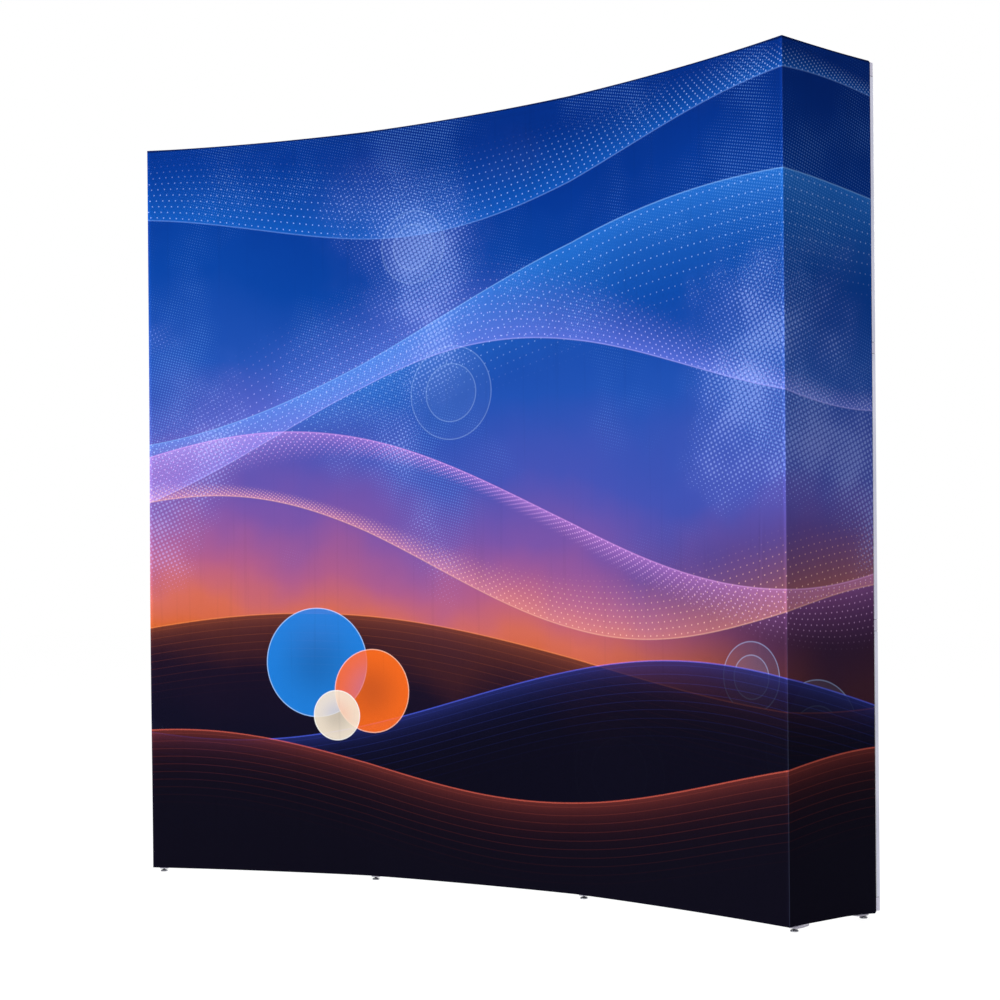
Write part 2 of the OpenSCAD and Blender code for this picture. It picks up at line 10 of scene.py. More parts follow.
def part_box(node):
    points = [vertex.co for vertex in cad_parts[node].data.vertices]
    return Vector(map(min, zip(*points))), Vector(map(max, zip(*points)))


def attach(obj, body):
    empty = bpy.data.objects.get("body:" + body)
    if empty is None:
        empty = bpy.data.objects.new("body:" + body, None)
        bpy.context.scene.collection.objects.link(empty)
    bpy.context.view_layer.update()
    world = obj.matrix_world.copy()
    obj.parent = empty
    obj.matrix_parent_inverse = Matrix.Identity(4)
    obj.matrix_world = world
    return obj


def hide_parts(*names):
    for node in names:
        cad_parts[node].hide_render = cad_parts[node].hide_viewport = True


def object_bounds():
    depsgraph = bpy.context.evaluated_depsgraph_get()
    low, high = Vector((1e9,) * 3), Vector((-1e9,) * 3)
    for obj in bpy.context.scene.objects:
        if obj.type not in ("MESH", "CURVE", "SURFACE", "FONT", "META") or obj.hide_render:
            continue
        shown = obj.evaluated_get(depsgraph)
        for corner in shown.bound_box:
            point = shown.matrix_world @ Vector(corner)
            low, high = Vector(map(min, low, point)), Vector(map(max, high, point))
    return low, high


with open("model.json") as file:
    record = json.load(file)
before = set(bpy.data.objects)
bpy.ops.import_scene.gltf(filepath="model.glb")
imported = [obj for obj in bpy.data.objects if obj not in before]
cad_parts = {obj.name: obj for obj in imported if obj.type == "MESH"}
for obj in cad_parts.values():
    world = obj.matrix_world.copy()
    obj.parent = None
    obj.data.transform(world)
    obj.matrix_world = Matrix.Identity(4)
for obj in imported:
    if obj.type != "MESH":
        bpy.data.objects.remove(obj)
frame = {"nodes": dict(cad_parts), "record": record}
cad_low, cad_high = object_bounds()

# Curved pop-up display wall: the printed stretch cover with its hems and tapes, and the finishes
# of the hubs, poles, feet and rails that carry it. Metres, +Z up, the viewer on the -Y side.

# ------------------------------------------------------------------ sizes

# The cover seen from above: the radius of its curve, the angle of a bay, how far the folds stand
# past the last hubs, the radius out to the rear edges, how round a bay is from 0 for flat to 1,
# and the radius of a fold. Then the fabric's thickness, and the gap between a bar and a holder.
COVER_R = 2.860
BAY = math.radians(14.06)
HALF_BAY = BAY / 2
END_ANGLE = 1.5 * BAY
END_MARGIN = 0.021
CORNER_ANGLE = END_ANGLE + math.asin(END_MARGIN / COVER_R)
END_EDGE_R = 3.1983
BAY_BULGE = 0.55
FOLD_R = 0.0028
FABRIC_T = 0.0011
SEAM = 0.001

# Columns of the cover's mesh: steps in a bay, steps round a fold, and shares of an end panel
BAY_STEPS = 24
FOLD_STEPS = 8
END_STEPS = (0.02, 0.05, 0.1, 0.16, 0.24, 0.33, 0.43, 0.53, 0.63, 0.72, 0.8, 0.87, 0.92, 0.96,
             0.985, 1)

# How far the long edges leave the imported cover's heights, to follow the photographed edges
TOP_RISE = 0.0022
TOP_DIP = 0.0020
TOP_FOLD_RISE = 0.0008
FRONT_DROP = 0.0004
OUTER_BAY_DROP = 0.0006
END_RISE = 0.0008
END_FOLD_DROP = 0.0018
END_FOLD_SHARE = 0.06
REAR_DROP = 0.0070
REAR_DROP_FROM = 0.55
LOWER_CORNER_CUT = 0.005
UPPER_CORNER_CUT = 0.003

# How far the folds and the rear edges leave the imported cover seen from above, for the same reason
FOLD_REACH = 0.06
RIGHT_PULL = 0.0012
RIGHT_PULL_TOP = 0.0010
LEFT_GIVE = 0.0012
LEFT_BULGE = 0.0026
LEFT_BULGE_AT = 0.33
LEFT_BULGE_SPREAD = 0.2
REAR_GIVE = 0.0030

# The hem: how wide its doubled cloth is, its two rows of stitches, and one stitch
HEM = 0.0250
STITCH_ROWS = (0.0165, 0.0215)
STITCH = 0.0036

# The crease beside the right fold: how far from it at one height, and metres sideways per metre
CREASE_IN = 0.083
CREASE_V = 0.9
CREASE_LEAN = 0.03

# The loop tapes: length and width, how far in from the cover's rear and long edges, and thickness
TAPE_WIDE = 0.020
TAPE_IN = 0.0025
TAPE_END_SHARE = 0.008
TAPE_T = 0.0007

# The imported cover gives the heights, and the whole box the centre of the curve
COVER_Z0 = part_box("cover_front_panel")[0].z
COVER_Z1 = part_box("cover_front_panel")[1].z
COVER_H = COVER_Z1 - COVER_Z0
CENTRE_Y = COVER_R * math.cos(CORNER_ANGLE) + (cad_high.y - cad_low.y) / 2


def round_point(radius, angle):
    """A point at that radius and angle from the centre of the curve, seen from above."""
    return Vector((radius * math.sin(angle), radius * math.cos(angle) - CENTRE_Y))


def bay_point(a0, a1, u):
    """A point of the cover's front between the bend lines at angles a0 and a1."""
    arc = round_point(COVER_R, a0 + (a1 - a0) * u)
    chord = round_point(COVER_R, a0).lerp(round_point(COVER_R, a1), u)
    return arc * BAY_BULGE + chord * (1 - BAY_BULGE)


def half_profile():
    """The cover's outside seen from above, from the middle of the front to the right rear edge.

    The second value is the place of the fold's middle in that list.
    """
    inner = range(BAY_STEPS // 2 + 1)
    points = [bay_point(-HALF_BAY, HALF_BAY, 0.5 + k / BAY_STEPS) for k in inner]
    outer = range(1, BAY_STEPS + 1)
    points += [bay_point(HALF_BAY, CORNER_ANGLE, k / BAY_STEPS) for k in outer]
    corner = points.pop()
    into = (corner - points[-1]).normalized()
    out = Vector((math.sin(END_ANGLE), math.cos(END_ANGLE)))
    turn = math.acos(into.dot(out))
    leg = FOLD_R * math.tan(turn / 2)
    start = corner - into * leg
    side = Vector((-into.y, into.x))
    fold = len(points) + FOLD_STEPS // 2
    for k in range(FOLD_STEPS + 1):
        a = turn * k / FOLD_STEPS
        points.append(start + into * FOLD_R * math.sin(a) + side * FOLD_R * (1 - math.cos(a)))
    first = points[-1]
    across = Vector((math.cos(END_ANGLE), -math.sin(END_ANGLE)))
    last = across * END_MARGIN + round_point(END_EDGE_R, END_ANGLE)
    points += [first.lerp(last, share) for share in END_STEPS]
    return points, fold


class Profile:
    """The cover's outside from its left rear edge to its right one, by distance along it."""

    SLOPE_STEP = 0.0006

    def __init__(self):
        right, fold = half_profile()
        left = [Vector((-p.x, p.y)) for p in reversed(right[1:])]
        points = left + right
        steps = [(b - a).length for a, b in zip(points, points[1:])]
        along = np.concatenate([[0], np.cumsum(steps)])
        self.along = along - along[-1] / 2
        self.x = [p.x for p in points]
        self.y = [p.y for p in points]
        self.half = float(self.along[-1])
        self.corner = float(self.along[len(left) + fold])

    def at(self, s):
        """The point at distance s along the cover from its middle, and the way out of it."""
        asked = [s - self.SLOPE_STEP, s, s + self.SLOPE_STEP]
        x0, x, x1 = (float(value) for value in np.interp(asked, self.along, self.x))
        y0, y, y1 = (float(value) for value in np.interp(asked, self.along, self.y))
        way = Vector((x1 - x0, y1 - y0)).normalized()
        return Vector((x, y)), Vector((way.y, -way.x))


PROFILE = Profile()

# How far the inner hubs are from the middle along the cover: a flattened bay is below its arc
FLATTER_BAY = 0.9985
COLUMN_S = COVER_R * HALF_BAY * FLATTER_BAY


def near_fold(s):
    """1 on the two upright folds, fading to 0 over a hand's width."""
    return math.exp(-((abs(s) - PROFILE.corner) / FOLD_REACH) ** 2)


def edge_heights(s):
    """Heights of the lower and upper edge: drawn in between the hubs, cut at the rear corners."""
    a = abs(s)
    if a <= COLUMN_S:
        u = (a / COLUMN_S + 1) / 2
        low = COVER_Z0 - FRONT_DROP
    elif a <= PROFILE.corner:
        u = (a - COLUMN_S) / (PROFILE.corner - COLUMN_S)
        low = COVER_Z0 - FRONT_DROP - OUTER_BAY_DROP * u
    else:
        u = (a - PROFILE.corner) / (PROFILE.half - PROFILE.corner)
        low = COVER_Z0 + END_RISE - END_FOLD_DROP * math.exp(-u / END_FOLD_SHARE)
        low -= REAR_DROP * max(0.0, (u - REAR_DROP_FROM) / (1 - REAR_DROP_FROM)) ** 2
    dip = 4 * u * (1 - u)
    high = COVER_Z1 + TOP_RISE - TOP_DIP * dip + TOP_FOLD_RISE * near_fold(s)
    low += max(0.0, LOWER_CORNER_CUT - (PROFILE.half - a))
    high -= max(0.0, UPPER_CORNER_CUT - (PROFILE.half - a))
    return low, high


def cover_place(s, v, inside=0.0):
    """A point of the cover: s along it, v from 0 at the lower edge to 1, and how far inside."""
    low, high = edge_heights(s)
    z = low + (high - low) * v
    p, out = PROFILE.at(s)
    p = p - out * inside
    side = math.copysign(1, s)
    across = Vector((side * math.cos(END_ANGLE), -math.sin(END_ANGLE)))
    along = Vector((side * math.sin(END_ANGLE), math.cos(END_ANGLE)))
    if s > 0:
        give = -RIGHT_PULL - RIGHT_PULL_TOP * v
    else:
        bulge = math.exp(-((v - LEFT_BULGE_AT) / LEFT_BULGE_SPREAD) ** 2)
        give = LEFT_GIVE + LEFT_BULGE * bulge
    p += across * give * near_fold(s)
    if abs(s) > PROFILE.corner:
        share = (abs(s) - PROFILE.corner) / (PROFILE.half - PROFILE.corner)
        p += along * REAR_GIVE * v * share
    return Vector((p.x, p.y, z))


# ------------------------------------------------------------------ mesh helpers


def finish_mesh(bm, name, body, materials, smooth=True):
    """Makes a bmesh an object in the scene that rides on a body."""
    mesh = bpy.data.meshes.new(name)
    bm.to_mesh(mesh)
    bm.free()
    for m in materials:
        mesh.materials.append(m)
    if smooth:
        mesh.polygons.foreach_set("use_smooth", [True] * len(mesh.polygons))
    piece = bpy.data.objects.new(name, mesh)
    bpy.context.scene.collection.objects.link(piece)
    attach(piece, body)
    return piece


def mapped_grid(columns, rows, place):
    """A grid of vertices, each moved to place(column value, row value).

    Its map "print" holds each vertex's column value and its height.
    """
    bm = bmesh.new()
    nx, ny = len(columns) - 1, len(rows) - 1
    bmesh.ops.create_grid(bm, x_segments=nx, y_segments=ny, size=0.5)
    uv = bm.loops.layers.uv.new("print")
    column_of = {}
    for v in bm.verts:
        column = columns[round((v.co.x + 0.5) * nx)]
        row = rows[round((v.co.y + 0.5) * ny)]
        column_of[v] = column
        v.co = place(column, row)
    for f in bm.faces:
        for loop in f.loops:
            loop[uv].uv = (column_of[loop.vert], loop.vert.co.z)
    return bm


def face_outwards(bm, test):
    """Turns all the faces when the one in the middle of their list doesn't pass the test."""
    bm.normal_update()
    bm.faces.ensure_lookup_table()
    if not test(bm.faces[len(bm.faces) // 2]):
        bmesh.ops.reverse_faces(bm, faces=bm.faces)
        bm.normal_update()


# ------------------------------------------------------------------ material helpers


def linear(r, g, b):
    """A colour written as 0 to 255 display values, as linear light with alpha 1."""
    def one(c):
        c /= 255
        return c / 12.92 if c <= 0.04045 else ((c + 0.055) / 1.055) ** 2.4
    return (one(r), one(g), one(b), 1.0)


class Shade:
    """A node material and short ways to add to it."""

    def __init__(self, name):
        self.material = bpy.data.materials.new(name)
        self.material.use_nodes = True
        self.tree = self.material.node_tree
        self.shader = self.tree.nodes["Principled BSDF"]

    def node(self, kind, **settings):
        n = self.tree.nodes.new("ShaderNode" + kind)
        for key, value in settings.items():
            setattr(n, key, value)
        return n

    def put(self, socket, value):
        if isinstance(value, bpy.types.NodeSocket):
            self.tree.links.new(value, socket)
        else:
            socket.default_value = value

    def math(self, operation, a, b=0.0, c=0.0):
        n = self.node("Math", operation=operation)
        for socket, value in zip(n.inputs, (a, b, c)):
            self.put(socket, value)
        return n.outputs[0]

    def add(self, a, b):
        return self.math("ADD", a, b)

    def sub(self, a, b):
        return self.math("SUBTRACT", a, b)

    def mul(self, a, b):
        return self.math("MULTIPLY", a, b)

    def ease(self, value, low, high, to_low=0.0, to_high=1.0):
        """Smooth step of value from low to high. low may be above high."""
        n = self.node("MapRange", interpolation_type="SMOOTHSTEP")
        flip = low > high
        self.put(n.inputs["Value"], value)
        n.inputs["From Min"].default_value = high if flip else low
        n.inputs["From Max"].default_value = low if flip else high
        n.inputs["To Min"].default_value = to_high if flip else to_low
        n.inputs["To Max"].default_value = to_low if flip else to_high
        return n.outputs[0]

    def off_middle(self, value):
        """How far the part of value after the point is from a half."""
        return self.math("ABSOLUTE", self.sub(self.math("FRACT", value), 0.5))

    def length(self, x, y):
        return self.math("SQRT", self.add(self.mul(x, x), self.mul(y, y)))

    def wave(self, x, per_metre, phase):
        return self.math("SINE", self.math("MULTIPLY_ADD", x, per_metre, phase))

    def mix(self, factor, a, b, blend="MIX"):
        n = self.node("Mix", data_type="RGBA", blend_type=blend, clamp_result=True)
        self.put(n.inputs["Factor"], factor)
        self.put(n.inputs["A"], a)
        self.put(n.inputs["B"], b)
        return n.outputs["Result"]

    def ramp(self, value, stops):
        n = self.node("ValToRGB")
        e = n.color_ramp.elements
        for place, colour in stops[2:]:
            e.new(place)
        for element, (place, colour) in zip(e, stops):
            element.position = place
            element.color = colour
        self.put(n.inputs[0], value)
        return n.outputs[0]

    def noise(self, where, scale, detail=2.0, roughness=0.5, dimensions="3D"):
        n = self.node("TexNoise", noise_dimensions=dimensions)
        self.put(n.inputs["Vector"], where)
        n.inputs["Scale"].default_value = scale
        n.inputs["Detail"].default_value = detail
        n.inputs["Roughness"].default_value = roughness
        return n.outputs[0]

    def cells(self, where, scale):
        n = self.node("TexVoronoi", voronoi_dimensions="2D")
        self.put(n.inputs["Vector"], where)
        n.inputs["Scale"].default_value = scale
        return n

    def stretch(self, where, scale):
        n = self.node("Mapping")
        self.put(n.inputs["Vector"], where)
        n.inputs["Scale"].default_value = scale
        return n.outputs[0]

    def object_place(self):
        return self.node("TexCoord").outputs["Object"]

    def cloth_place(self):
        """The cover's own map: metres along it, and metres above the floor."""
        n = self.node("UVMap")
        n.uv_map = "print"
        return n.outputs[0]

    def split(self, vector):
        n = self.node("SeparateXYZ")
        self.put(n.inputs[0], vector)
        return n.outputs[0], n.outputs[1], n.outputs[2]

    def bump(self, height, distance, strength, on=None):
        n = self.node("Bump")
        self.put(n.inputs["Height"], height)
        n.inputs["Distance"].default_value = distance
        n.inputs["Strength"].default_value = strength
        if on is not None:
            self.put(n.inputs["Normal"], on)
        return n.outputs[0]

    def rounded(self, radius):
        n = self.node("Bevel", samples=4)
        n.inputs["Radius"].default_value = radius
        return n.outputs[0]

    def set(self, **sockets):
        for key, value in sockets.items():
            self.put(self.shader.inputs[key.replace("_", " ")], value)
        return self.material


# ------------------------------------------------------------------ the print

# A ribbon's dots: rows across it, metres from dot to dot, and how far each row is shifted
VEIL_ROWS = 13.0
VEIL_PITCH = 0.021
VEIL_SHIFT = 0.37

BLACK = (0.0, 0.0, 0.0, 1.0)


def lighter(tint, gain, lift):
    return (*[min(1.0, c * gain + lift) for c in tint[:3]], 1.0)


def veil(s, u, v, ink, level, lean, swing, per_metre, phase, width, breath, tint, power, up):
    """A translucent ribbon: one crisp edge, then a fade with rows of fine dots in it."""
    centre = s.math("MULTIPLY_ADD", u, lean, level)
    centre = s.add(centre, s.mul(s.wave(u, per_metre, phase), swing))
    wide = s.math("MULTIPLY_ADD", s.wave(u, breath, phase * 1.7), width * 0.42, width * 0.58)
    rise = s.sub(v, centre) if up else s.sub(centre, v)
    share = s.math("DIVIDE", rise, wide)
    inside = s.mul(s.ease(share, -0.004, 0.004), s.ease(share, 1.0, 0.55))
    fade = s.math("POWER", s.math("MAXIMUM", s.sub(1.0, share), 0.0), 2.2)
    fade = s.math("MINIMUM", fade, 1.0)
    ink = s.mix(s.mul(s.mul(inside, fade), power), ink, tint, "SCREEN")
    edge = s.mul(s.ease(s.math("ABSOLUTE", rise), 0.0030, 0.0006), power)
    ink = s.mix(edge, ink, lighter(tint, 1.2, 0.20))
    rows = s.mul(share, VEIL_ROWS)
    across = s.mul(s.mul(s.off_middle(rows), wide), 1 / VEIL_ROWS)
    step = s.math("MULTIPLY_ADD", s.math("FLOOR", rows), VEIL_SHIFT, s.mul(u, 1 / VEIL_PITCH))
    along = s.mul(s.off_middle(step), VEIL_PITCH)
    away = s.length(across, along)
    dots = s.mul(s.ease(away, 0.0026, 0.0012), s.mul(inside, s.ease(share, 1.0, 0.1)))
    return s.mix(s.mul(dots, 0.70), ink, lighter(tint, 0.9, 0.35))


def halftone(s, u, v, ink, pitch, turn, amount, tint, power):
    """A slanted grid of dots whose size follows an amount from 0 to 1."""
    c, t = math.cos(turn) / pitch, math.sin(turn) / pitch
    x = s.add(s.mul(u, c), s.mul(v, t))
    y = s.sub(s.mul(v, c), s.mul(u, t))
    away = s.length(s.off_middle(x), s.off_middle(y))
    size = s.mul(amount, 0.46)
    dot = s.mul(s.ease(s.sub(size, away), -0.06, 0.06), s.ease(amount, 0.06, 0.16))
    return s.mix(s.mul(dot, power), ink, tint, "SCREEN")


def orbit(s, place, ink, scale, radius, share, tint, power):
    """Scattered pairs of thin rings round one centre."""
    cells = s.cells(place, scale)
    chance, size, glow = s.split(cells.outputs["Color"])
    away = s.mul(cells.outputs["Distance"], 1 / scale)
    drawn = s.ease(chance, 1 - share, 1 - share + 0.02)
    drawn = s.mul(drawn, s.math("MULTIPLY_ADD", glow, 0.6, 0.4))
    for part in (1.0, 0.62):
        reach = s.math("MULTIPLY_ADD", size, radius * part * 0.6, radius * part * 0.4)
        line = s.ease(s.math("ABSOLUTE", s.sub(away, reach)), 0.0024, 0.0008)
        ink = s.mix(s.mul(s.mul(line, drawn), power), ink, tint, "SCREEN")
        fill = s.mul(s.ease(s.sub(reach, away), 0.0, 0.0015), drawn)
        ink = s.mix(s.mul(fill, power * 0.12), ink, tint, "SCREEN")
    return ink


def disc(s, u, v, ink, at_u, at_v, radius, colour, power):
    """A round spot of colour, denser towards a thin bright rim."""
    away = s.length(s.sub(u, at_u), s.sub(v, at_v))
    fill = s.mul(s.ease(away, radius + 0.0012, radius - 0.0012),
                 s.ease(away, 0.0, radius, power * 0.72, power))
    ink = s.mix(fill, ink, colour)
    rim = s.ease(s.math("ABSOLUTE", s.sub(away, radius)), 0.0024, 0.0006, 0.0, power * 0.8)
    return s.mix(rim, ink, lighter(colour, 1.0, 0.35), "SCREEN")


def printed_design(s):
    """Ribbons, halftone mist and rings over a sweep from blue to orange, and dark folds below.

    Gives the ink, the place on the cloth and its two parts: metres along, and height.
    """
    place = s.cloth_place()
    u, v, _ = s.split(place)
    height = s.mul(s.sub(v, COVER_Z0), 1 / COVER_H)
    drift = s.mul(s.wave(u, 2.1, 0.6), 0.026)
    cloud = s.math("MULTIPLY_ADD", s.noise(place, 1.9, 3.0, 0.5, "2D"), 0.13, -0.065)
    level = s.add(s.add(height, drift), s.math("MULTIPLY_ADD", u, 0.030, cloud))
    ink = s.ramp(level, [
        (0.00, linear(6, 5, 14)), (0.16, linear(14, 10, 26)), (0.245, linear(70, 28, 50)),
        (0.29, linear(206, 98, 50)), (0.325, linear(204, 102, 84)), (0.38, linear(166, 88, 132)),
        (0.45, linear(116, 80, 158)), (0.54, linear(64, 78, 170)), (0.65, linear(30, 76, 168)),
        (0.78, linear(6, 62, 152)), (0.90, linear(2, 50, 138)), (1.00, linear(1, 42, 124)),
    ])
    dusk = s.mul(s.ease(u, 0.3, 1.25, 0.0, 0.94), s.ease(height, 0.50, 0.35))
    ink = s.mix(dusk, ink, linear(26, 20, 44))
    mist = s.noise(place, 1.35, 4.0, 0.55, "2D")
    band = s.mul(s.ease(height, 0.30, 0.48), s.ease(height, 1.02, 0.80))
    amount = s.mul(s.ease(mist, 0.46, 0.76), band)
    ink = s.mix(s.mul(amount, 0.16), ink, linear(120, 130, 226), "SCREEN")
    ink = halftone(s, u, v, ink, 0.0125, 0.42, amount, linear(150, 170, 250), 0.42)
    fine = s.ease(s.noise(place, 2.3, 3.0, 0.5, "2D"), 0.36, 0.70)
    fine = s.mul(fine, s.ease(height, 0.34, 0.52))
    ink = halftone(s, u, v, ink, 0.0082, -0.26, s.mul(fine, 0.62), linear(110, 165, 250), 0.28)
    ink = orbit(s, place, ink, 1.7, 0.20, 0.40, linear(170, 200, 255), 0.34)
    # Each ribbon: level, lean, swing, waves, phase, width, breath, tint, strength, fades upwards
    veils = [
        (2.03, 0.06, 0.09, 2.7, 5.0, 0.30, 1.7, linear(30, 120, 230), 0.26, True),
        (1.66, 0.16, 0.15, 1.9, 0.4, 0.42, 1.3, linear(50, 140, 250), 0.38, False),
        (1.40, 0.09, 0.19, 2.2, 1.5, 0.40, 1.6, linear(120, 120, 240), 0.40, True),
        (1.13, -0.06, 0.20, 2.0, 2.7, 0.34, 1.4, linear(206, 120, 214), 0.34, False),
        (0.94, -0.12, 0.14, 2.6, 3.5, 0.26, 1.9, linear(236, 140, 110), 0.38, True),
    ]
    for ribbon in veils:
        ink = veil(s, u, v, ink, *ribbon)
    # Each dark fold: level, swing, waves, phase, strength, ink, rim
    folds = [
        (0.68, 0.13, 1.7, 2.55, 0.94, linear(15, 13, 34), linear(226, 110, 50)),
        (0.55, 0.13, 2.1, 0.10, 0.92, linear(9, 8, 24), linear(70, 90, 220)),
        (0.36, 0.09, 2.6, 4.10, 0.90, linear(12, 10, 24), linear(210, 90, 70)),
    ]
    for fold_level, swing, per_metre, phase, strength, dark, rim in folds:
        top = s.math("MULTIPLY_ADD", s.wave(u, per_metre, phase), swing, fold_level)
        below = s.sub(top, v)
        ink = s.mix(s.mul(s.ease(below, -0.0015, 0.0015), strength), ink, dark)
        glow = s.mul(s.ease(below, -0.001, 0.001), s.math("POWER", 2.718, s.mul(below, -30.0)))
        ink = s.mix(s.mul(glow, 0.19), ink, rim, "SCREEN")
        line = s.ease(s.math("ABSOLUTE", below), 0.0028, 0.0008)
        ink = s.mix(s.mul(line, 0.62), ink, rim, "SCREEN")
        rows = s.off_middle(s.mul(below, 42.0))
        reach = s.mul(s.ease(below, 0.26, 0.0), s.ease(below, 0.0, 0.004))
        lines = s.mul(s.ease(rows, 0.07, 0.03), reach)
        ink = s.mix(s.mul(lines, 0.07), ink, rim, "SCREEN")
    ink = disc(s, u, v, ink, -0.52, 0.66, 0.165, linear(30, 124, 214), 0.95)
    ink = disc(s, u, v, ink, -0.335, 0.575, 0.125, linear(240, 104, 30), 0.92)
    ink = disc(s, u, v, ink, -0.455, 0.50, 0.075, linear(240, 226, 205), 0.88)
    return ink, place, u, v


def knit_bumps(s, u, v):
    """The loops of the knit, too fine to see singly from a step away."""
    return s.add(s.mul(s.math("ABSOLUTE", s.wave(u, 2800.0, 0.0)), 0.6),
                 s.mul(s.math("ABSOLUTE", s.wave(v, 3600.0, 0.0)), 0.4))


def hem_rows(s, u, v):
    """Distance from the nearer long edge, and the two rows of stitches that hold its hem."""
    to_edge = s.math("MINIMUM", s.sub(v, COVER_Z0 - 0.001), s.sub(COVER_Z1 - 0.001, v))
    dashes = s.ease(s.wave(u, 2 * math.pi / STITCH, 0.0), -0.3, 0.1)
    outer, inner = [s.math("ABSOLUTE", s.sub(to_edge, row)) for row in STITCH_ROWS]
    near = s.math("MINIMUM", outer, inner)
    return to_edge, s.mul(s.ease(near, 0.0010, 0.0004), dashes)


def crease_shade_and_highlight(s, u, v, ink):
    """A faint leaning crease beside the right fold, painted: a dark line of painted shade with a
    pale line of painted highlight next to it.
    """
    across = s.sub(u, PROFILE.corner - CREASE_IN)
    across = s.sub(across, s.math("MULTIPLY_ADD", v, CREASE_LEAN, -CREASE_LEAN * CREASE_V))
    reach = s.mul(s.ease(v, 0.62, 0.80), s.ease(v, 1.20, 1.00))
    # Painted shade along the crease, and a painted highlight beside it
    dark = s.ease(s.math("ABSOLUTE", s.add(across, 0.007)), 0.004, 0.001, 0.0, 0.05)
    pale = s.ease(s.math("ABSOLUTE", across), 0.005, 0.001, 0.0, 0.08)
    ink = s.mix(s.mul(dark, reach), ink, BLACK)
    return s.mix(s.mul(pale, reach), ink, ink, "ADD")


def printed_knit():
    """Dye-printed stretch knit, matt, with painted shade darkening its long edges where the hem
    rolls over, a painted highlight on the front beside the folds, and a pale line on the folds.
    """
    s = Shade("printed_knit")
    ink, place, u, v = printed_design(s)
    fibre = s.noise(place, 900.0, 2.0, 0.6, "2D")
    ink = s.mix(s.ease(fibre, 0.3, 0.7, 0.0, 0.10), ink, BLACK)
    strain = s.noise(s.stretch(place, (1.0, 0.022, 1.0)), 75.0, 2.0, 0.5, "2D")
    ink = s.mix(s.ease(strain, 0.60, 0.74, 0.0, 0.045), ink, BLACK)
    fold = s.math("ABSOLUTE", s.sub(s.math("ABSOLUTE", u), PROFILE.corner))
    front = s.math("LESS_THAN", s.math("ABSOLUTE", u), PROFILE.corner)
    # Painted highlight: the front's last 13 mm before each fold made up to 30% brighter
    ink = s.mix(s.mul(front, s.ease(fold, 0.013, 0.001, 0.0, 0.30)), ink, ink, "ADD")
    worn = s.mul(s.ease(fold, 0.0016, 0.0005), s.ease(v, 1.9, 0.3, 0.03, 0.09))
    ink = s.mix(worn, ink, linear(120, 130, 170))
    ink = crease_shade_and_highlight(s, u, v, ink)
    to_edge, stitches = hem_rows(s, u, v)
    # Painted shade: the last few millimetres of print along each long edge darkened to navy, for
    # the shadow where the hem rolls over
    hem = s.ease(to_edge, 0.0034, 0.0018)
    ink = s.mix(s.mul(hem, 0.60), ink, linear(3, 6, 26))
    ink = s.mix(s.mul(stitches, 0.18), ink, linear(6, 8, 26))
    slack = s.noise(s.stretch(place, (1.0, 0.35, 1.0)), 6.0, 3.0, 0.5, "2D")
    normal = s.bump(slack, 0.0016, 0.5)
    normal = s.bump(strain, 0.0002, 0.3, normal)
    normal = s.bump(knit_bumps(s, u, v), 0.00012, 0.5, normal)
    normal = s.bump(stitches, 0.0004, 0.6, normal)
    rough = s.ease(fibre, 0.2, 0.8, 0.82, 0.94)
    return s.set(Base_Color=ink, Roughness=rough, Normal=normal, Specular_IOR_Level=0.03)


def knit_back():
    """The unprinted inside: white knit with the print's colours faintly through it."""
    s = Shade("knit_back")
    ink, place, u, v = printed_design(s)
    fibre = s.noise(place, 700.0, 2.0, 0.6, "2D")
    white = s.mix(s.ease(fibre, 0.3, 0.7), linear(228, 229, 233), linear(242, 242, 245))
    to_edge, stitches = hem_rows(s, u, v)
    doubled = s.ease(to_edge, HEM + 0.0005, HEM)
    through = s.mix(s.mul(s.sub(1.0, s.mul(doubled, 0.7)), 0.14), white, ink)
    through = s.mix(s.mul(stitches, 0.7), through, linear(70, 72, 90))
    normal = s.bump(doubled, 0.0012, 0.8)
    normal = s.bump(knit_bumps(s, u, v), 0.00012, 0.5, normal)
    normal = s.bump(stitches, -0.0004, 0.6, normal)
    return s.set(Base_Color=through, Roughness=s.ease(fibre, 0.2, 0.8, 0.82, 0.92),
                 Normal=normal, Specular_IOR_Level=0.12)


def overlock_thread():
    """Dark overlock thread along the cut edges."""
    s = Shade("overlock_thread")
    where = s.object_place()
    strand = s.noise(where, 900.0, 2.0)
    ink = s.mix(strand, linear(8, 10, 24), linear(26, 28, 48))
    return s.set(Base_Color=ink, Roughness=s.ease(strand, 0.3, 0.7, 0.6, 0.85),
                 Normal=s.bump(strand, 0.0003, 0.6))


# ------------------------------------------------------------------ the other finishes


PLASTIC_EDGE = 0.0006
THREAD_PITCH = 0.00125
THREAD_FROM = 0.0058


def moulded(name, dark, pale, rough_low, rough_high):
    """Moulded plastic: faint colour drift, fine spark texture, softened edges."""
    s = Shade(name)
    where = s.object_place()
    drift = s.noise(where, 24.0, 3.0)
    spark = s.noise(where, 1600.0, 1.0)
    ink = s.mix(drift, dark, pale)
    normal = s.bump(spark, 0.00006, 0.35, s.rounded(PLASTIC_EDGE))
    return s.set(Base_Color=ink, Roughness=s.ease(drift, 0.3, 0.7, rough_low, rough_high),
                 Normal=normal, Specular_IOR_Level=0.4)


def rail_seams():
    """The lower and upper height of each seam between a bar of the rails and a holder."""
    seams = []
    for bar in ("lower", "middle", "upper"):
        low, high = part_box("right_rail_" + bar + "_bar")
        seams += [(low.z - SEAM, low.z), (high.z, high.z + SEAM)]
    return seams


